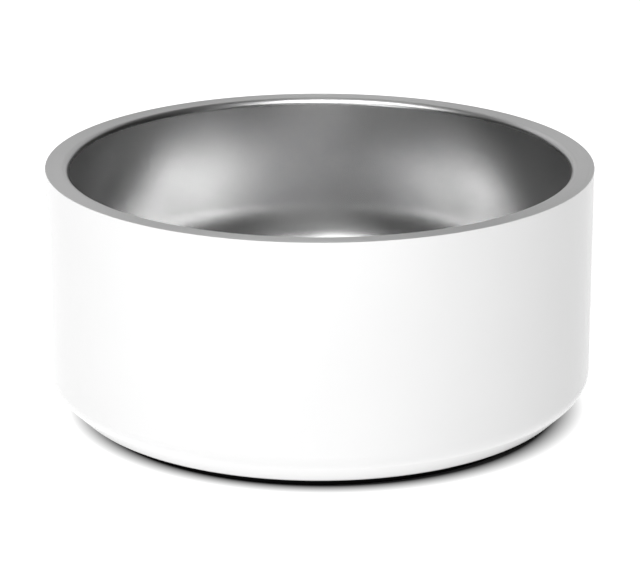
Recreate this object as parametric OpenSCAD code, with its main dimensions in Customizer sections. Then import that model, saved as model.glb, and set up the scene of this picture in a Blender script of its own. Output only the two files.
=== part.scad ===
// Double-wall pet bowl. A drawn steel inner bowl hangs by its rim in a coated outer shell, a welded disc
// closes the shell underneath, and the bowl stands on a bonded rubber ring.
// The origin is the middle of the base, on the surface that the bowl stands on, with +Z up.
// Every piece is a section in the (radius, height) plane, turned about the Z axis.

/* [Bowl] */
// Outside diameter of the bowl
bowl_d = 200; // [150:1:260]
// Height of the bowl, from the surface that it stands on to the top of the rim
bowl_h = 93; // [75:1:130]

/* [Rim] */
// Width of the rim, from the outside of the shell to the inside of the bowl
rim_w = 8.4; // [6:0.1:14]
// Inside radius of the bend that rolls the rim over into the wall
rim_roll = 1.7; // [0.6:0.1:2.2]
// Inside radius of the bend that turns the rim down into its skirt
rim_bend = 0.6; // [0.4:0.1:1.2]
// Height of the skirt that stands inside the top of the shell
skirt_h = 5; // [4:0.5:10]

/* [Inner bowl] */
// Thickness of the inner bowl's sheet
liner_t = 0.8; // [0.5:0.1:1.2]
// Radius between the inside wall and the floor
inner_corner = 38; // [12:1:45]
// Air gap between the inner bowl's floor and the closing disc
floor_gap = 6; // [2:0.5:12]

/* [Outer shell] */
// Thickness of the outer shell's sheet
shell_t = 0.8; // [0.5:0.1:1.2]
// Outside radius of the shell's lower edge
shell_corner = 15; // [8:0.5:24]
// Chamfer on the outside of the shell's top edge
edge_break = 0.25; // [0.1:0.05:0.4]
// Width of the flat landing that carries the shell on the foot ring
landing_w = 2; // [1:0.5:5]
// Depth of the recess that the foot ring's tongue fills
seat_depth = 2; // [1:0.5:4]
// Width of the flange that shows inside the foot ring
flange_show = 4; // [2:0.5:8]

/* [Closing disc] */
// Thickness of the closing disc
disc_t = 0.8; // [0.5:0.1:1.5]
// Overlap of the disc on the shell's flange
disc_lap = 4; // [2:0.5:6]

/* [Welds] */
// Width of the rim weld across the top of the rim, and its depth down the shell
rim_weld_w = 1.1; // [0.8:0.1:1.3]
// Width of the base weld across the closing disc
base_weld_w = 0.7; // [0.4:0.1:1.2]

/* [Foot ring] */
// Height of the foot ring below the shell
foot_h = 3; // [2:0.5:6]
// Width of the foot ring
foot_w = 18; // [14:0.5:26]
// Distance of the foot ring's edge inside the end of the shell's lower corner
foot_inset = 0.3; // [0:0.1:1]
// Rounding of the foot ring's lower edges
foot_round = 0.6; // [0.3:0.1:1.2]
// Number of grip grooves round the sole
groove_count = 3; // [0:1:4]
// Width of a grip groove
groove_w = 1.5; // [0.8:0.1:2]
// Depth of a grip groove
groove_depth = 0.8; // [0.4:0.1:1.5]
// Clearance between the tongue and the slope of its recess
tongue_clear = 0.2; // [0.1:0.05:0.5]
// Thickness of the adhesive above the tongue
bond_t = 0.2; // [0.1:0.05:0.4]
// Distance of the adhesive from the edges of the tongue
bond_margin = 1.5; // [0.5:0.5:3]

/* [Hidden] */
$fn = 96;

// Radii
bowl_r = bowl_d / 2;
wall_r = bowl_r - rim_w;
skirt_r = bowl_r - shell_t;
landing_r = bowl_r - shell_corner;
slope_r = landing_r - landing_w;
foot_r = landing_r - foot_inset;
foot_hole_r = foot_r - foot_w;
opening_r = foot_hole_r - flange_show;
disc_r = opening_r + disc_lap;
tongue_r = slope_r - tongue_clear;

// Heights
seat_z = foot_h + seat_depth;
disc_z = seat_z + shell_t;
floor_z = disc_z + disc_t + floor_gap + liner_t;
tongue_z = seat_z - bond_t;

// Sideways shift of a sheet's far side where it turns through 45 degrees
mitre = tan(22.5);
// Spare reach of a cutting shape past the face that it cuts
over = 1;

// Rectangle from one radius to another and from one height to another
module bar(r0, r1, z0, z1) {
    translate([r0, z0]) square([r1 - r0, z1 - z0]);
}

// Filled cup from the axis out to a radius, with a rounded lower edge
module cup(r, z0, z1, corner) {
    bar(0, r - corner, z0, z1);
    bar(0, r, z0 + corner, z1);
    intersection() {
        translate([r - corner, z0 + corner]) circle(corner);
        bar(0, r, z0, z1);
    }
}

// Filled block between two radii, with its upper inner edge rounded
module shoulder(r0, r1, z0, z1, inner_round) {
    bar(r0 + inner_round, r1, z0, z1);
    bar(r0, r1, z0, z1 - inner_round);
    translate([r0 + inner_round, z1 - inner_round]) circle(inner_round);
}

// Filled arch between two radii, with its own rounding on each upper edge
module arch(r0, r1, z0, z1, inner_round, outer_round) {
    shoulder(r0, r1 - outer_round, z0, z1, inner_round);
    bar(r0 + inner_round, r1, z0, z1 - outer_round);
    translate([r1 - outer_round, z1 - outer_round]) circle(outer_round);
}

// Groove that the rim weld fills, at the upper corner between the skirt and the shell
module weld_groove(reach) {
    polygon([
        [skirt_r + reach, bowl_h + reach],
        [skirt_r - rim_weld_w - reach, bowl_h + reach],
        [skirt_r + reach, bowl_h - rim_weld_w - reach]
    ]);
}

// Rim of the inner bowl: rolled over from the wall, flat on top and turned down into a skirt
module rim_section() {
    foot = bowl_h - skirt_h;
    difference() {
        shoulder(wall_r, skirt_r, foot, bowl_h, rim_roll + liner_t);
        arch(wall_r + liner_t, skirt_r - liner_t, foot - over, bowl_h - liner_t, rim_roll, rim_bend);
        weld_groove(over);
    }
}

// Drawn inner bowl with its floor, its rounded corner, its wall and its rim
module inner_bowl() {
    color("silver") rotate_extrude() {
        rim_section();
        difference() {
            cup(wall_r + liner_t, floor_z - liner_t, bowl_h - liner_t - rim_roll, inner_corner + liner_t);
            cup(wall_r, floor_z, bowl_h, inner_corner);
        }
    }
}

// Space under the shell's base that the foot ring's tongue fills, moved up and out by a sheet thickness
module recess_section(t) {
    shift = t * mitre;
    polygon([
        [-over, foot_h + t - over],
        [slope_r + shift + over, foot_h + t - over],
        [slope_r + shift - seat_depth, seat_z + t],
        [-over, seat_z + t]
    ]);
}

// Filled shell up to a height, drawn in by a sheet thickness
module filled_shell(t, top) {
    difference() {
        cup(bowl_r - t, foot_h + t, top, shell_corner - t);
        recess_section(t);
    }
}

// Corner that the chamfer takes off the shell's top edge
module edge_section() {
    polygon([
        [bowl_r - edge_break - over, bowl_h + over],
        [bowl_r + over, bowl_h - edge_break - over],
        [bowl_r + over, bowl_h + over]
    ]);
}

// Coated outer shell: wall, rounded lower edge, landing, recess and flange in one thickness of sheet
module outer_shell() {
    color("white") rotate_extrude() difference() {
        filled_shell(0, bowl_h);
        filled_shell(shell_t, bowl_h + over);
        bar(-over, opening_r, foot_h - over, bowl_h + over);
        edge_section();
    }
}

// Bead that fills the groove between the skirt and the shell, ground flush with the rim
module rim_weld() {
    color("darkgray") rotate_extrude() weld_groove(0);
}

// Disc that closes the shell, lapped on top of its flange
module closing_disc() {
    color("silver") rotate_extrude() bar(0, disc_r, disc_z, disc_z + disc_t);
}

// Bead in the corner between the flange's edge and the underside of the closing disc
module base_weld() {
    color("darkgray") rotate_extrude() polygon([
        [opening_r, disc_z],
        [opening_r, seat_z],
        [opening_r - base_weld_w, disc_z]
    ]);
}

// Sole of the foot ring, with rounded lower edges and round grip grooves
module sole_section() {
    pitch = foot_w / (groove_count + 1);
    difference() {
        union() {
            bar(foot_hole_r, foot_r, foot_round, foot_h);
            bar(foot_hole_r + foot_round, foot_r - foot_round, 0, foot_h);
            for (r = [foot_hole_r + foot_round, foot_r - foot_round])
                translate([r, foot_round]) circle(foot_round);
        }
        for (i = [1:1:groove_count])
            translate([foot_hole_r + i * pitch - groove_w / 2, -over]) square([groove_w, groove_depth + over]);
    }
}

// Tongue of the foot ring, which stands in the recess under the shell's flange
module tongue_section() {
    rise = tongue_z - foot_h;
    polygon([
        [foot_hole_r, foot_h],
        [tongue_r, foot_h],
        [tongue_r - rise, tongue_z],
        [foot_hole_r, tongue_z]
    ]);
}

// Rubber foot ring
module foot_ring() {
    color("black") rotate_extrude() {
        sole_section();
        tongue_section();
    }
}

// Adhesive between the tongue and the flange
module ring_adhesive() {
    color("beige") rotate_extrude()
        bar(foot_hole_r + bond_margin, tongue_r - seat_depth - bond_margin, tongue_z, seat_z);
}

inner_bowl();
outer_shell();
rim_weld();
closing_disc();
base_weld();
foot_ring();
ring_adhesive();
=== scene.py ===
import math

import bpy
import numpy as np
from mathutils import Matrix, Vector


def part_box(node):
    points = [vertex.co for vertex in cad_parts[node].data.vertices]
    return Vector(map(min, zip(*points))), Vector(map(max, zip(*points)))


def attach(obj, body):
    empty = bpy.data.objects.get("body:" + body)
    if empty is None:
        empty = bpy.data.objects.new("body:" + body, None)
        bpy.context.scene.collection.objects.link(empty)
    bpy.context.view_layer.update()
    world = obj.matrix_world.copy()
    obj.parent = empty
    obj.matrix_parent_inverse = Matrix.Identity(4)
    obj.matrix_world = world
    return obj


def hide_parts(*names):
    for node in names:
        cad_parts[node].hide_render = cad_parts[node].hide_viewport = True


# A double-wall pet bowl: every piece is a section in the (radius, height) plane, turned about the Z axis.

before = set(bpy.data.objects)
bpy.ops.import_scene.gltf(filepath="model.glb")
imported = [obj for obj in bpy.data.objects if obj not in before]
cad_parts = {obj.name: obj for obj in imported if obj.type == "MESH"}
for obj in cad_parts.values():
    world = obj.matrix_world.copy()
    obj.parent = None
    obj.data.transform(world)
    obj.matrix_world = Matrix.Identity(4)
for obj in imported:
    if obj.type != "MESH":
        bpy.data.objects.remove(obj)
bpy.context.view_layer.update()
MM = 0.001
FULL_TURN = 2 * math.pi

# Sizes read from the frame, in metres

shell_low, shell_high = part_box("outer_shell")
liner_low, liner_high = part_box("inner_bowl")
disc_low, disc_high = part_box("closing_disc")
bead_low, bead_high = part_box("base_weld")
_, foot_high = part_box("foot_ring")

BOWL_R = shell_high.x
BOWL_H = shell_high.z
SHELL_Z = shell_low.z
SKIRT_R = liner_high.x
SHELL_T = BOWL_R - SKIRT_R
SEAT_Z = bead_low.z
OPENING_R = bead_high.x
DISC_R = disc_high.x
DISC_Z = disc_low.z
DISC_TOP = disc_high.z
FOOT_R = foot_high.x
TONGUE_Z = foot_high.z

# Sizes of the sections that a box doesn't show, as the solids have them

RIM_W = 8.4 * MM
LINER_T = 0.8 * MM
FLOOR_Z = liner_low.z + LINER_T
WALL_R = BOWL_R - RIM_W
# Outside radius of the roll into the wall, and inside radius of the bend into the skirt
RIM_ROLL = 2.5 * MM
SKIRT_BEND = 0.6 * MM
SKIRT_H = 5.0 * MM
INNER_CORNER = 38.0 * MM
EDGE_BREAK = 0.25 * MM
# Distance of the landing inside the wall, its width, and the slope of the recess that starts at its inner edge
SHELL_CORNER = 15.0 * MM
LANDING_W = 2.0 * MM
RECESS_R = BOWL_R - SHELL_CORNER - LANDING_W
RECESS_ANGLE = math.radians(45)
RIM_WELD_W = 1.1 * MM
BASE_WELD_W = 0.7 * MM
FOOT_W = 18.0 * MM
FOOT_ROUND = 0.6 * MM
GROOVES = 3
GROOVE_W = 1.5 * MM
GROOVE_DEPTH = 0.8 * MM
TONGUE_CLEAR = 0.2 * MM

# Shapes that are finer here than in the solids

# Curve of the shell's lower edge: a bend out of the landing, a slope and a bend into the wall
SLOPE_W = 10.3 * MM
SLOPE_ANGLE = math.radians(44)
LOW_BEND = 8.0 * MM
HIGH_BEND = 8.0 * MM
# Rounding of edges that the solids keep sharp, of seams between two pieces and of the bottom of a groove
SOFT_EDGE = 0.12 * MM
SEAM_EDGE = 0.2 * SOFT_EDGE
GROOVE_EDGE = 2 * SOFT_EDGE
# Depth of the face that is ground on the rim
GROUND_DEPTH = 0.02 * MM
# Base weld: how far its hollow face stands off the flange, the number of ripples in it and of points across each,
# their height, and the width over which they fade in
WELD_HOLLOW = 0.4 * BASE_WELD_W
RIPPLES = 330
RIPPLE_POINTS = 6
RIPPLE_H = 0.06 * MM
RIPPLE_FADE = 0.2 * BASE_WELD_W

# Fineness of the meshes

TURNS = 384
# Turn between two points of an arc, and the coarser one for roundings up to a small radius
ARC_STEP = math.radians(5)
SMALL_ARC = 0.3 * MM
SMALL_ARC_STEP = math.radians(15)
LEAST_STEPS = 3
# Radius below which an outline's first point counts as lying on the axis
ON_AXIS = 1e-9
# Name of the map whose u runs round the axis and whose v runs along the outline
OUTLINE_MAP = "along"


# Surfaces

def placed(name, data):
    """New object of some data, in the scene's collection."""
    made = bpy.data.objects.new(name, data)
    bpy.context.scene.collection.objects.link(made)
    return made


def rounded_outline(corners):
    """Outline of straight runs joined by tangent arcs, as points and outward normals.

    A corner is (radius, height, rounding). Its arc starts rounding * tan(turn / 2) before the corner, and the
    heading then turns evenly until it lies along the next run. The solid is on the left of the heading, so the
    outward normal is the heading turned a quarter to the right. The first and last corner are plain ends.
    """
    places = np.array([corner[:2] for corner in corners])
    runs = np.diff(places, axis=0)
    headings = np.arctan2(runs[:, 1], runs[:, 0])
    points = [places[:1]]
    angles = [headings[:1]]
    for i in range(1, len(corners) - 1):
        turn = (headings[i] - headings[i - 1] + math.pi) % FULL_TURN - math.pi
        rounding = corners[i][2]
        arc_step = ARC_STEP if rounding > SMALL_ARC else SMALL_ARC_STEP
        steps = max(LEAST_STEPS, math.ceil(abs(turn) / arc_step))
        swept = headings[i - 1] + turn * np.linspace(0, 1, steps + 1)
        before = rounding * math.tan(abs(turn) / 2)
        start = places[i] - before * np.array([math.cos(headings[i - 1]), math.sin(headings[i - 1])])
        side = math.copysign(rounding, turn)
        along_r = side * (np.sin(swept) - math.sin(swept[0]))
        along_z = side * (math.cos(swept[0]) - np.cos(swept))
        points.append(start + np.stack([along_r, along_z], axis=1))
        angles.append(swept)
    points.append(places[-1:])
    angles.append(headings[-1:])
    headings = np.concatenate(angles)
    normals = np.stack([np.sin(headings), -np.cos(headings)], axis=1)
    return np.concatenate(points), normals


def turned(name, corners, turns=TURNS, ripple=None):
    """Surface of revolution: (r, z) on the outline goes to (r cos a, r sin a, z) for even angles a.

    An outline that starts and ends on the axis closes at two poles, and any other runs back to its first point.
    ripple, where given, is a function of the outline's points and the angles that returns a small outward move.
    The map's u is the angle as a share of a turn, and its v is the length along the outline in metres.
    """
    points, normals = rounded_outline(corners)
    has_poles = points[0, 0] < ON_AXIS
    first = 1 if has_poles else 0
    points, normals = points[first:-1], normals[first:-1]
    rings = len(points)
    angle = np.linspace(0, FULL_TURN, turns, endpoint=False)
    r = np.repeat(points[:, :1], turns, axis=1)
    z = np.repeat(points[:, 1:], turns, axis=1)
    if ripple is not None:
        move = ripple(points, angle)
        r = r + move * normals[:, :1]
        z = z + move * normals[:, 1:]
    grid = np.stack([r * np.cos(angle), r * np.sin(angle), z], axis=2).reshape(-1, 3)
    normal = np.stack(
        [normals[:, :1] * np.cos(angle), normals[:, :1] * np.sin(angle), np.repeat(normals[:, 1:], turns, axis=1)],
        axis=2,
    ).reshape(-1, 3)

    last = rings - 1 if has_poles else rings
    ring = np.arange(last)[:, None] * turns
    next_ring = (np.arange(1, last + 1) % rings)[:, None] * turns
    step = np.arange(turns)[None, :]
    next_step = (step + 1) % turns
    quads = np.stack([ring + step, ring + next_step, next_ring + next_step, next_ring + step], axis=2)
    faces = quads.reshape(-1, 4).tolist()

    length = np.concatenate([[0], np.cumsum(np.linalg.norm(np.diff(points, axis=0), axis=1))])
    closing = length[-1] + np.linalg.norm(points[0] - points[-1])
    left, right = step / turns, (step + 1) / turns
    u0, v0 = np.broadcast_arrays(left, length[:last, None])
    u1, v1 = np.broadcast_arrays(right, np.append(length, closing)[1 : last + 1, None])
    uv = np.stack([u0, v0, u1, v0, u1, v1, u0, v1], axis=2).reshape(-1, 2)

    if has_poles:
        under, above = rings * turns, rings * turns + 1
        poles = [[0, 0, corners[0][1]], [0, 0, corners[-1][1]]]
        grid = np.concatenate([grid, poles])
        normal = np.concatenate([normal, [[0, 0, -1], [0, 0, 1]]])
        top = (rings - 1) * turns
        low_fan = np.stack([np.full_like(step, under), next_step, step], axis=2)
        high_fan = np.stack([np.full_like(step, above), top + step, top + next_step], axis=2)
        faces += low_fan.reshape(-1, 3).tolist() + high_fan.reshape(-1, 3).tolist()
        middle = (left + right) / 2
        low_v, high_v = np.full_like(left, length[0]), np.full_like(left, length[-1])
        low_uv = np.stack([middle, low_v - points[0, 0], right, low_v, left, low_v], axis=2)
        high_uv = np.stack([middle, high_v + points[-1, 0], left, high_v, right, high_v], axis=2)
        uv = np.concatenate([uv, low_uv.reshape(-1, 2), high_uv.reshape(-1, 2)])

    mesh = bpy.data.meshes.new(name)
    mesh.from_pydata(grid.tolist(), [], faces)
    mesh.uv_layers.new(name=OUTLINE_MAP).data.foreach_set("uv", uv.astype(np.float32).ravel())
    mesh.polygons.foreach_set("use_smooth", np.ones(len(faces), bool))
    if ripple is None:
        mesh.normals_split_custom_set_from_vertices(normal.tolist())
    mesh.update()
    return placed(name, mesh)


# Pieces

def dress(piece, node, material):
    """Puts a piece in its CAD node's place: gives it its finish, attaches it to the root body and hides the node."""
    piece.data.materials.append(material)
    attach(piece, "root")
    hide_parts(node)
    return piece


def grind_top(piece, material):
    """Gives the faces of a piece that lie in the top of the rim the rim's own ground finish."""
    mesh = piece.data
    mesh.materials.append(material)
    centres = np.empty(3 * len(mesh.polygons))
    mesh.polygons.foreach_get("center", centres)
    on_top = centres[2::3] > BOWL_H - GROUND_DEPTH
    mesh.polygons.foreach_set("material_index", on_top.astype(np.int32))


def inner_bowl():
    """Drawn sheet: floor, corner, wall, rolled rim, flat rim face and the skirt inside the shell."""
    under_rim = BOWL_H - LINER_T
    skirt_z = BOWL_H - SKIRT_H
    return turned("inner_bowl_steel", [
        (0, FLOOR_Z - LINER_T, 0),
        (WALL_R + LINER_T, FLOOR_Z - LINER_T, INNER_CORNER + LINER_T),
        (WALL_R + LINER_T, under_rim, RIM_ROLL - LINER_T),
        (SKIRT_R - LINER_T, under_rim, SKIRT_BEND),
        (SKIRT_R - LINER_T, skirt_z, SOFT_EDGE),
        (SKIRT_R, skirt_z, SOFT_EDGE),
        (SKIRT_R, BOWL_H - RIM_WELD_W, SOFT_EDGE),
        (SKIRT_R - RIM_WELD_W, BOWL_H, SEAM_EDGE),
        (WALL_R, BOWL_H, RIM_ROLL),
        (WALL_R, FLOOR_Z, INNER_CORNER),
        (0, FLOOR_Z, 0),
    ])


def outer_shell():
    """Drawn and coated sheet: wall, lower edge of two bends and a slope, landing, sloped recess and flange.

    The inside keeps one thickness: where the outside turns, its corner lies SHELL_T * tan(turn / 2) further along.
    """
    rise = SEAT_Z - SHELL_Z
    shift = SHELL_T * math.tan(RECESS_ANGLE / 2)
    bottom = SHELL_Z + SHELL_T
    top = SEAT_Z + SHELL_T
    middle_z = (BOWL_H + SHELL_Z) / 2
    low_r = BOWL_R - SLOPE_W
    high_z = SHELL_Z + SLOPE_W * math.tan(SLOPE_ANGLE)
    low_in = SHELL_T * math.tan(SLOPE_ANGLE / 2)
    high_in = SHELL_T * math.tan(math.pi / 4 - SLOPE_ANGLE / 2)
    return turned("outer_shell_coat", [
        (BOWL_R, middle_z, 0),
        (BOWL_R, BOWL_H, EDGE_BREAK),
        (SKIRT_R, BOWL_H, SEAM_EDGE),
        (SKIRT_R, high_z + high_in, HIGH_BEND - SHELL_T),
        (low_r - low_in, bottom, LOW_BEND - SHELL_T),
        (RECESS_R + shift, bottom, SOFT_EDGE),
        (RECESS_R + shift - rise, top, SOFT_EDGE),
        (OPENING_R, top, SOFT_EDGE),
        (OPENING_R, SEAT_Z, SOFT_EDGE),
        (RECESS_R - rise, SEAT_Z, SOFT_EDGE),
        (RECESS_R, SHELL_Z, SOFT_EDGE),
        (low_r, SHELL_Z, LOW_BEND),
        (BOWL_R, high_z, HIGH_BEND),
        (BOWL_R, middle_z, 0),
    ])


def rim_weld():
    """Bead that fills the groove between the skirt and the shell, ground flush with the rim."""
    middle_z = BOWL_H - RIM_WELD_W / 2
    return turned("rim_weld_bead", [
        (SKIRT_R, middle_z, 0),
        (SKIRT_R, BOWL_H, SEAM_EDGE),
        (SKIRT_R - RIM_WELD_W, BOWL_H, SEAM_EDGE),
        (SKIRT_R, BOWL_H - RIM_WELD_W, SEAM_EDGE),
        (SKIRT_R, middle_z, 0),
    ])


def closing_disc():
    """Flat disc lapped on the shell's flange."""
    return turned("closing_disc_steel", [
        (0, DISC_Z, 0),
        (DISC_R, DISC_Z, SOFT_EDGE),
        (DISC_R, DISC_TOP, SOFT_EDGE),
        (0, DISC_TOP, 0),
    ])


def weld_ripple(points, angle):
    """Inward move RIPPLE_H * |sin(RIPPLES * a / 2)|, which fades in from the edges of the base weld's open face."""
    inward = OPENING_R - points[:, :1]
    below = DISC_Z - points[:, 1:]
    open_face = np.clip(inward / RIPPLE_FADE, 0, 1) * np.clip(below / RIPPLE_FADE, 0, 1)
    return -RIPPLE_H * open_face * np.abs(np.sin(RIPPLES * angle / 2))


def base_weld():
    """Bead in the corner of the flange and the disc: a hollow face with the even ripples of a weld pool."""
    middle_z = (SEAT_Z + DISC_Z) / 2
    hollow_z = (SEAT_Z + 2 * DISC_Z) / 3
    return turned("base_weld_bead", [
        (OPENING_R, middle_z, 0),
        (OPENING_R, DISC_Z, SEAM_EDGE),
        (OPENING_R - BASE_WELD_W, DISC_Z, SEAM_EDGE),
        (OPENING_R - WELD_HOLLOW, hollow_z, SOFT_EDGE),
        (OPENING_R, SEAT_Z, SEAM_EDGE),
        (OPENING_R, middle_z, 0),
    ], turns=RIPPLE_POINTS * RIPPLES, ripple=weld_ripple)


def foot_ring():
    """Moulded ring: grooved sole with rounded edges, and the tongue that fills the shell's recess."""
    hole_r = FOOT_R - FOOT_W
    pitch = FOOT_W / (GROOVES + 1)
    tongue_r = RECESS_R - TONGUE_CLEAR
    middle_z = SHELL_Z / 2
    sole = []
    for i in range(1, GROOVES + 1):
        near, far = hole_r + i * pitch - GROOVE_W / 2, hole_r + i * pitch + GROOVE_W / 2
        sole += [
            (near, 0, SOFT_EDGE),
            (near, GROOVE_DEPTH, GROOVE_EDGE),
            (far, GROOVE_DEPTH, GROOVE_EDGE),
            (far, 0, SOFT_EDGE),
        ]
    return turned("foot_ring_rubber", [
        (FOOT_R, middle_z, 0),
        (FOOT_R, SHELL_Z, SOFT_EDGE),
        (tongue_r, SHELL_Z, SOFT_EDGE),
        (tongue_r - (TONGUE_Z - SHELL_Z), TONGUE_Z, SOFT_EDGE),
        (hole_r, TONGUE_Z, SOFT_EDGE),
        (hole_r, 0, FOOT_ROUND),
        *sole,
        (FOOT_R, 0, FOOT_ROUND),
        (FOOT_R, middle_z, 0),
    ])


# Finishes: linear colours, depths of bumps in metres, and noises by their cells in a metre

# Values of a noise between which most of it lies
NOISE_LOW, NOISE_HIGH = 0.3, 0.7

# Lines of ground steel: how fast they change round the axis, how fine they break up, and the clouds over them
LINE_DRIFT = 9.0
LINE_DETAIL = 4.0
LINE_ROUGHNESS = 0.65
CLOUDS = 24.0
CLOUD_DETAIL = 3.0
# Grain of a skin: detail of its height and of its patches
GRAIN_DETAIL = 2.0
PATCH_DETAIL = 3.0

# Share by which steel's grey, the satin's roughness and the ground faces' roughness go up and down
GREY_SPREAD = 0.015
SATIN_SPREAD = 0.05
GROUND_SPREAD = 0.06

INSIDE_GREY = (0.65, 0.65, 0.65)
INSIDE_ROUGHNESS = 0.26
# Roughness of the rim's roll, and how far below the rim it is reached, as a share of the roll
ROLL_ROUGHNESS = 0.36
ROLL_TOP = 0.3
SATIN_GRAINS = 2600.0
SATIN_PATCHES = 24.0
SATIN_DEPTH = 0.0001 * MM

RIM_GREY = (0.65, 0.65, 0.65)
RIM_LINES = 3500.0
RIM_DEPTH = 0.0002 * MM
DISC_GREY = (0.63, 0.63, 0.63)
DISC_LINES = 1800.0
DISC_DEPTH = 0.003 * MM
GROUND_ROUGHNESS = 0.36
GROUND_ANISOTROPY = 0.6
# Quarter turn of the highlights away from the map's u
GROUND_ROTATION = 0.25

COAT_DARK = (0.79, 0.79, 0.79)
COAT_LIGHT = (0.81, 0.81, 0.81)
COAT_ROUGHNESS = (0.20, 0.24)
COAT_GRAINS = 620.0
COAT_PATCHES = 18.0
COAT_PEEL = 0.001 * MM

RUBBER_DARK = (0.004, 0.004, 0.004)
RUBBER_LIGHT = (0.008, 0.008, 0.008)
RUBBER_ROUGHNESS = (0.74, 0.88)
RUBBER_GLOSS = 0.02
RUBBER_GRAINS = 2200.0
RUBBER_PATCHES = 60.0
RUBBER_DEPTH = 0.04 * MM

BOND_DARK = (0.52, 0.48, 0.36)
BOND_LIGHT = (0.60, 0.56, 0.44)
BOND_ROUGHNESS = (0.35, 0.50)
BOND_GRAINS = 700.0
BOND_PATCHES = 30.0


# Shader node groups

def socket_group(name, inputs, outputs):
    """New shader node group with float inputs and outputs of these names, and its two end nodes."""
    group = bpy.data.node_groups.new(name, "ShaderNodeTree")
    for in_out, labels in (("INPUT", inputs), ("OUTPUT", outputs)):
        for label in labels:
            group.interface.new_socket(label, in_out=in_out, socket_type="NodeSocketFloat")
    return group, group.nodes.new("NodeGroupInput"), group.nodes.new("NodeGroupOutput")


def new_node(tree, kind, **settings):
    """New node of a kind with its properties set."""
    made = tree.nodes.new(kind)
    for key, value in settings.items():
        setattr(made, key, value)
    return made


def set_inputs(made, **values):
    """Sets a node's inputs. An underscore in a name here stands for the space in the socket's own."""
    for key, value in values.items():
        made.inputs[key.replace("_", " ")].default_value = value


def math_node(tree, operation, first, second):
    """Math node whose two inputs are sockets or numbers."""
    made = new_node(tree, "ShaderNodeMath", operation=operation)
    for socket, value in zip(made.inputs, (first, second)):
        if isinstance(value, (int, float)):
            socket.default_value = value
        else:
            tree.links.new(value, socket)
    return made.outputs[0]


def polish_group():
    """Fine lines round the axis, and slow clouds over them.

    The lines are a noise read at (drift * x, drift * y, lines * v), where v is the length along the outline, so
    it is drawn out along the turn and tight across it.
    """
    group, given, gives = socket_group("polish_lines", ["Lines per metre"], ["Height", "Cloud"])
    links = group.links
    place = new_node(group, "ShaderNodeTexCoord")
    split = new_node(group, "ShaderNodeSeparateXYZ")
    links.new(place.outputs["Object"], split.inputs[0])
    along = new_node(group, "ShaderNodeSeparateXYZ")
    links.new(place.outputs["UV"], along.inputs[0])
    drawn = new_node(group, "ShaderNodeCombineXYZ")
    links.new(math_node(group, "MULTIPLY", split.outputs[0], LINE_DRIFT), drawn.inputs[0])
    links.new(math_node(group, "MULTIPLY", split.outputs[1], LINE_DRIFT), drawn.inputs[1])
    links.new(math_node(group, "MULTIPLY", along.outputs[1], given.outputs["Lines per metre"]), drawn.inputs[2])
    lines = new_node(group, "ShaderNodeTexNoise")
    set_inputs(lines, Scale=1.0, Detail=LINE_DETAIL, Roughness=LINE_ROUGHNESS)
    links.new(drawn.outputs[0], lines.inputs["Vector"])
    links.new(lines.outputs["Fac"], gives.inputs["Height"])
    cloud = new_node(group, "ShaderNodeTexNoise")
    set_inputs(cloud, Scale=CLOUDS, Detail=CLOUD_DETAIL)
    links.new(place.outputs["Object"], cloud.inputs["Vector"])
    links.new(cloud.outputs["Fac"], gives.inputs["Cloud"])
    return group


def grain_group():
    """Even grain of a satin, sprayed or moulded skin: a fine noise for height and a slow one for shade."""
    group, given, gives = socket_group("skin_grain", ["Grains per metre", "Patches per metre"], ["Height", "Patch"])
    links = group.links
    place = new_node(group, "ShaderNodeTexCoord")
    for source, target, detail in (
        ("Grains per metre", "Height", GRAIN_DETAIL),
        ("Patches per metre", "Patch", PATCH_DETAIL),
    ):
        noise = new_node(group, "ShaderNodeTexNoise")
        set_inputs(noise, Detail=detail)
        links.new(place.outputs["Object"], noise.inputs["Vector"])
        links.new(given.outputs[source], noise.inputs["Scale"])
        links.new(noise.outputs["Fac"], gives.inputs[target])
    return group


POLISH = polish_group()
GRAIN = grain_group()


# Materials

def new_material(name):
    """New material with its node tree and its Principled shader."""
    material = bpy.data.materials.new(name)
    material.use_nodes = True
    tree = material.node_tree
    return material, tree, tree.nodes["Principled BSDF"]


def skin_grain(tree, grains, patches):
    """Height and patch of the skin's grain, placed in a material with its own cells in a metre."""
    made = new_node(tree, "ShaderNodeGroup", node_tree=GRAIN)
    set_inputs(made, Grains_per_metre=grains, Patches_per_metre=patches)
    return made.outputs["Height"], made.outputs["Patch"]


def span(tree, source, low, high):
    """Value that goes from low to high as a noise goes over its usual reach."""
    made = new_node(tree, "ShaderNodeMapRange")
    set_inputs(made, From_Min=NOISE_LOW, From_Max=NOISE_HIGH, To_Min=low, To_Max=high)
    tree.links.new(source, made.inputs["Value"])
    return made.outputs["Result"]


def shade(tree, source, dark, light):
    """Colour that goes from dark to light as a noise goes over its usual reach."""
    made = new_node(tree, "ShaderNodeMix", data_type="RGBA")
    set_inputs(made, A=(*dark, 1), B=(*light, 1))
    tree.links.new(span(tree, source, 0.0, 1.0), made.inputs["Factor"])
    return made.outputs["Result"]


def steel_shade(tree, source, grey):
    """Grey of bare steel, which goes up and down by a small share as a noise does."""
    dark = [part * (1 - GREY_SPREAD) for part in grey]
    light = [part * (1 + GREY_SPREAD) for part in grey]
    return shade(tree, source, dark, light)


def bump(tree, shader, height, distance):
    """Bump of a height in metres on a shader's normal."""
    made = new_node(tree, "ShaderNodeBump")
    set_inputs(made, Distance=distance, Strength=1.0)
    tree.links.new(height, made.inputs["Height"])
    tree.links.new(made.outputs["Normal"], shader.inputs["Normal"])


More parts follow.
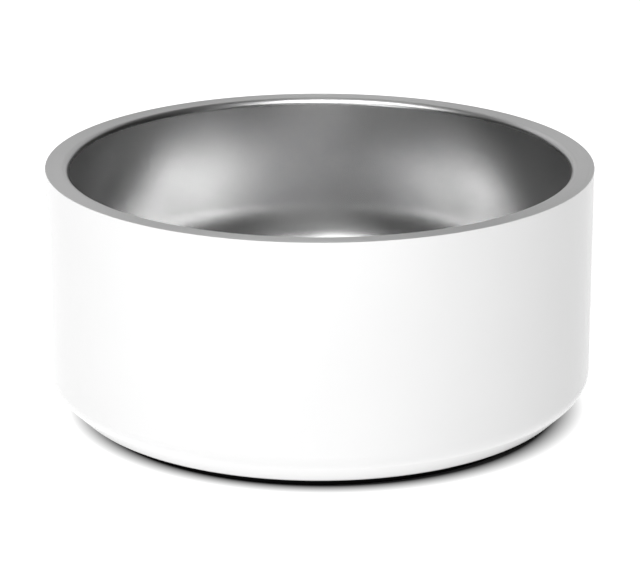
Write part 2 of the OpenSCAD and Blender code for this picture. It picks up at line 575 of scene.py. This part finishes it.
def satin_steel():
    """Bare sheet with an even satin: a fine grain in its gloss and height, slow clouds in its grey, a duller roll."""
    material, tree, shader = new_material("satin_steel")
    height, patch = skin_grain(tree, SATIN_GRAINS, SATIN_PATCHES)
    set_inputs(shader, Metallic=1.0)
    tree.links.new(steel_shade(tree, patch, INSIDE_GREY), shader.inputs["Base Color"])
    place = new_node(tree, "ShaderNodeTexCoord")
    split = new_node(tree, "ShaderNodeSeparateXYZ")
    tree.links.new(place.outputs["Object"], split.inputs[0])
    roll = new_node(tree, "ShaderNodeMapRange", interpolation_type="SMOOTHSTEP")
    set_inputs(roll, From_Min=BOWL_H - RIM_ROLL, From_Max=BOWL_H - ROLL_TOP * RIM_ROLL)
    set_inputs(roll, To_Min=INSIDE_ROUGHNESS, To_Max=ROLL_ROUGHNESS)
    tree.links.new(split.outputs[2], roll.inputs["Value"])
    uneven = span(tree, height, 1 - SATIN_SPREAD, 1 + SATIN_SPREAD)
    tree.links.new(math_node(tree, "MULTIPLY", roll.outputs["Result"], uneven), shader.inputs["Roughness"])
    bump(tree, shader, height, SATIN_DEPTH)
    return material


def ground_steel(name, grey, lines, depth):
    """Bare metal ground round the axis, so its highlights spread across the lines."""
    material, tree, shader = new_material(name)
    polish = new_node(tree, "ShaderNodeGroup", node_tree=POLISH)
    set_inputs(polish, Lines_per_metre=lines)
    set_inputs(shader, Metallic=1.0, Anisotropic=GROUND_ANISOTROPY, Anisotropic_Rotation=GROUND_ROTATION)
    tree.links.new(steel_shade(tree, polish.outputs["Cloud"], grey), shader.inputs["Base Color"])
    smooth, rough = GROUND_ROUGHNESS * (1 - GROUND_SPREAD), GROUND_ROUGHNESS * (1 + GROUND_SPREAD)
    tree.links.new(span(tree, polish.outputs["Height"], smooth, rough), shader.inputs["Roughness"])
    lay = new_node(tree, "ShaderNodeTangent", direction_type="UV_MAP", uv_map=OUTLINE_MAP)
    tree.links.new(lay.outputs["Tangent"], shader.inputs["Tangent"])
    bump(tree, shader, polish.outputs["Height"], depth)
    return material


def white_coat():
    """Sprayed powder coat with a slight peel in its gloss and height and faint clouds in its white."""
    material, tree, shader = new_material("white_powder_coat")
    height, patch = skin_grain(tree, COAT_GRAINS, COAT_PATCHES)
    tree.links.new(shade(tree, patch, COAT_DARK, COAT_LIGHT), shader.inputs["Base Color"])
    tree.links.new(span(tree, height, *COAT_ROUGHNESS), shader.inputs["Roughness"])
    bump(tree, shader, height, COAT_PEEL)
    return material


def black_rubber():
    """Moulded rubber with a fine grain and a slight grey bloom."""
    material, tree, shader = new_material("black_rubber")
    height, patch = skin_grain(tree, RUBBER_GRAINS, RUBBER_PATCHES)
    tree.links.new(shade(tree, patch, RUBBER_DARK, RUBBER_LIGHT), shader.inputs["Base Color"])
    tree.links.new(span(tree, height, *RUBBER_ROUGHNESS), shader.inputs["Roughness"])
    set_inputs(shader, Specular_IOR_Level=RUBBER_GLOSS)
    bump(tree, shader, height, RUBBER_DEPTH)
    return material


def bond_film():
    """Adhesive film with slight clouds in its colour and gloss."""
    material, tree, shader = new_material("bond_film")
    height, patch = skin_grain(tree, BOND_GRAINS, BOND_PATCHES)
    tree.links.new(shade(tree, patch, BOND_DARK, BOND_LIGHT), shader.inputs["Base Color"])
    tree.links.new(span(tree, height, *BOND_ROUGHNESS), shader.inputs["Roughness"])
    return material


steel = satin_steel()
rim_steel = ground_steel("rim_steel", RIM_GREY, RIM_LINES, RIM_DEPTH)
disc_steel = ground_steel("disc_steel", DISC_GREY, DISC_LINES, DISC_DEPTH)
coat = white_coat()
rubber = black_rubber()

grind_top(dress(inner_bowl(), "inner_bowl", steel), rim_steel)
grind_top(dress(outer_shell(), "outer_shell", coat), rim_steel)
dress(rim_weld(), "rim_weld", rim_steel)
dress(closing_disc(), "closing_disc", disc_steel)
dress(base_weld(), "base_weld", rim_steel)
dress(foot_ring(), "foot_ring", rubber)
# The bond under the ring keeps the shape that it has in the frame
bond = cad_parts["ring_adhesive"]
bond.data.materials.clear()
bond.data.materials.append(bond_film())


# Studio

# Radii of the floor's rings in metres, which grow outwards, and the points round each
FLOOR_RADII = np.concatenate([[0.05], np.geomspace(0.1, 6.0, 24)])
FLOOR_TURNS = 96
# Strength of the floor's glow, and its painted falloff of light: the glow is stronger to the left and a little to the
# front, where the lamps stand, and weaker to the right
FLOOR_GLOW = 1.283
PAINTED_FLOOR_FALLOFF = (-0.108, -0.02, 0.0)
# Contact shadow: its grey, and the radii where it starts to fade and where it ends, as (level, slope, bend)
SHADOW_GREY = 0.08
SHADOW_START = (0.0851, 0.0014, 0.0011)
SHADOW_END = (0.0936, 0.0018, 0.0048)
# Middle of the bowl, and the distance of the soft boxes from it in metres
AIM = Vector((0, 0, BOWL_H / 2))
LIGHT_DISTANCE = 1.6
LIGHTS = [
    # name, azimuth and elevation in degrees, width and height in metres, radiance
    ("front_left_box", -14, 38, 0.64, 0.46, 5.99),
    ("front_right_box", 24, 41, 0.51, 0.46, 2.95),
    ("front_tall_box", 6, 48, 0.49, 0.92, 1.72),
    ("high_box", 4, 67, 0.40, 0.63, 8.50),
    ("left_box", -54, 56, 0.42, 1.31, 4.12),
    ("right_box", 53, 19, 0.40, 0.43, 0.51),
    ("front_low_box", -2, 7, 1.56, 0.41, 0.80),
    ("left_low_box", -33, 7, 0.40, 0.42, 3.81),
    ("back_box", -171, 32, 2.90, 0.95, 0.60),
    ("back_low_box", -172, 7, 2.50, 0.44, 0.63),
    ("back_left_box", -141, 37, 1.30, 0.43, 0.36),
    ("back_high_box", -171, 69, 0.40, 0.46, 1.14),
]

# Camera, fitted to the outline of the rim, the wall and the base in the picture: metres, degrees and pixels

CAMERA_DISTANCE = 1.1025
CAMERA_ELEVATION = 18.02
FOCAL_PIXELS = 2981.4
PICTURE_WIDTH = 640
PICTURE_MIDDLE = (320.0, 292.5)
BOWL_PIXEL = (319.70, 282.78)
# Width of the sensor in millimetres, and the distance in metres at which the camera starts to see
SENSOR_WIDTH = 36.0
CLIP_START = 0.01


def floor_finish():
    """Pale glow with a painted falloff of light that leans with the heading from the middle, stronger to the left
    than to the right, with the bowl's contact shadow in it.

    The glow's strength is FLOOR_GLOW plus the heading's dot product with the painted falloff vector, which paints the
    floor lighter on the lamps' side. The shadow is a matt grey that gives way to the glow between two radii. Each is
    level + x * (slope + x * bend), where x is the heading's X.
    """
    material = bpy.data.materials.new("studio_white")
    material.use_nodes = True
    tree = material.node_tree
    tree.nodes.clear()
    matt = new_node(tree, "ShaderNodeBsdfDiffuse")
    set_inputs(matt, Color=(SHADOW_GREY, SHADOW_GREY, SHADOW_GREY, 1))
    glow = new_node(tree, "ShaderNodeEmission")
    place = new_node(tree, "ShaderNodeTexCoord")
    heading = new_node(tree, "ShaderNodeVectorMath", operation="NORMALIZE")
    tree.links.new(place.outputs["Object"], heading.inputs[0])
    # Painted light: the glow is raised to the left and front and lowered to the right, as if the lamps lit the floor
    # more there
    painted_falloff = new_node(tree, "ShaderNodeVectorMath", operation="DOT_PRODUCT")
    painted_falloff.inputs[1].default_value = PAINTED_FLOOR_FALLOFF
    tree.links.new(heading.outputs[0], painted_falloff.inputs[0])
    tree.links.new(math_node(tree, "ADD", painted_falloff.outputs["Value"], FLOOR_GLOW), glow.inputs["Strength"])
    far = new_node(tree, "ShaderNodeVectorMath", operation="LENGTH")
    tree.links.new(place.outputs["Object"], far.inputs[0])
    split = new_node(tree, "ShaderNodeSeparateXYZ")
    tree.links.new(heading.outputs[0], split.inputs[0])
    right = split.outputs[0]
    fade = new_node(tree, "ShaderNodeMapRange")
    for socket, (level, slope, bend) in (("From Min", SHADOW_START), ("From Max", SHADOW_END)):
        bent = math_node(tree, "ADD", math_node(tree, "MULTIPLY", right, bend), slope)
        radius = math_node(tree, "ADD", math_node(tree, "MULTIPLY", right, bent), level)
        tree.links.new(radius, fade.inputs[socket])
    tree.links.new(far.outputs["Value"], fade.inputs["Value"])
    mix = new_node(tree, "ShaderNodeMixShader")
    tree.links.new(fade.outputs["Result"], mix.inputs["Fac"])
    tree.links.new(matt.outputs[0], mix.inputs[1])
    tree.links.new(glow.outputs[0], mix.inputs[2])
    out = new_node(tree, "ShaderNodeOutputMaterial")
    tree.links.new(mix.outputs[0], out.inputs["Surface"])
    return material


def studio_floor():
    """Floor as a flat disc: (r, a) goes to (r cos a, r sin a, 0) for the rings' radii and even angles a."""
    radii, turns = FLOOR_RADII[:, None], FLOOR_TURNS
    angle = np.linspace(0, FULL_TURN, turns, endpoint=False)
    flat = np.zeros((len(radii), turns))
    rings = np.stack([radii * np.cos(angle), radii * np.sin(angle), flat], axis=2).reshape(-1, 3)
    grid = np.concatenate([rings, [[0, 0, 0]]])
    ring = np.arange(len(radii) - 1)[:, None] * turns
    next_ring = ring + turns
    step = np.arange(turns)[None, :]
    next_step = (step + 1) % turns
    quads = np.stack([ring + step, next_ring + step, next_ring + next_step, ring + next_step], axis=2)
    fan = np.stack([np.full_like(step, len(rings)), step, next_step], axis=2)
    mesh = bpy.data.meshes.new("studio_floor")
    mesh.from_pydata(grid.tolist(), [], quads.reshape(-1, 4).tolist() + fan.reshape(-1, 3).tolist())
    floor = placed("studio_floor", mesh)
    mesh.materials.append(floor_finish())


def studio_world():
    """World that the camera sees as white and that gives no light of its own."""
    world = bpy.data.worlds.new("studio_world")
    bpy.context.scene.world = world
    world.use_nodes = True
    tree = world.node_tree
    white = tree.nodes["Background"]
    set_inputs(white, Color=(1, 1, 1, 1))
    path = new_node(tree, "ShaderNodeLightPath")
    tree.links.new(path.outputs["Is Camera Ray"], white.inputs["Strength"])


def aim_at(thing, target):
    """Turns a light or the camera so that it looks at a point."""
    thing.rotation_euler = (target - thing.location).to_track_quat("-Z", "Y").to_euler()


def around(azimuth, elevation, distance):
    """Point at a distance from the bowl's middle. Azimuth 0 is the camera's side, and grows to the right."""
    a, e = math.radians(azimuth), math.radians(elevation)
    return AIM + distance * Vector((math.sin(a) * math.cos(e), -math.cos(a) * math.cos(e), math.sin(e)))


def studio_light(name, azimuth, elevation, width, height, radiance):
    """Rectangular soft box aimed at the bowl, which the camera doesn't see. Its power is pi * area * radiance."""
    light = bpy.data.lights.new(name, "AREA")
    light.shape = "RECTANGLE"
    light.size = width
    light.size_y = height
    light.energy = math.pi * width * height * radiance
    lamp = placed(name, light)
    lamp.location = around(azimuth, elevation, LIGHT_DISTANCE)
    aim_at(lamp, AIM)
    lamp.visible_camera = False


def photo_camera():
    """Camera at the picture's angle. It is aimed past the bowl's middle by the offset of that point in the frame."""
    data = bpy.data.cameras.new("photo_camera")
    data.sensor_width = SENSOR_WIDTH
    data.lens = FOCAL_PIXELS * SENSOR_WIDTH / PICTURE_WIDTH
    data.clip_start = CLIP_START
    camera = placed("photo_camera", data)
    camera.location = around(0, CAMERA_ELEVATION, CAMERA_DISTANCE)
    right = (PICTURE_MIDDLE[0] - BOWL_PIXEL[0]) / FOCAL_PIXELS * CAMERA_DISTANCE
    down = (PICTURE_MIDDLE[1] - BOWL_PIXEL[1]) / FOCAL_PIXELS * CAMERA_DISTANCE
    tilt = math.radians(CAMERA_ELEVATION)
    up = Vector((0, math.sin(tilt), math.cos(tilt)))
    aim_at(camera, AIM + right * Vector((1, 0, 0)) - down * up)
    bpy.context.scene.camera = camera


studio_floor()
studio_world()
for settings in LIGHTS:
    studio_light(*settings)
photo_camera()
bpy.context.scene.view_settings.view_transform = "Standard"
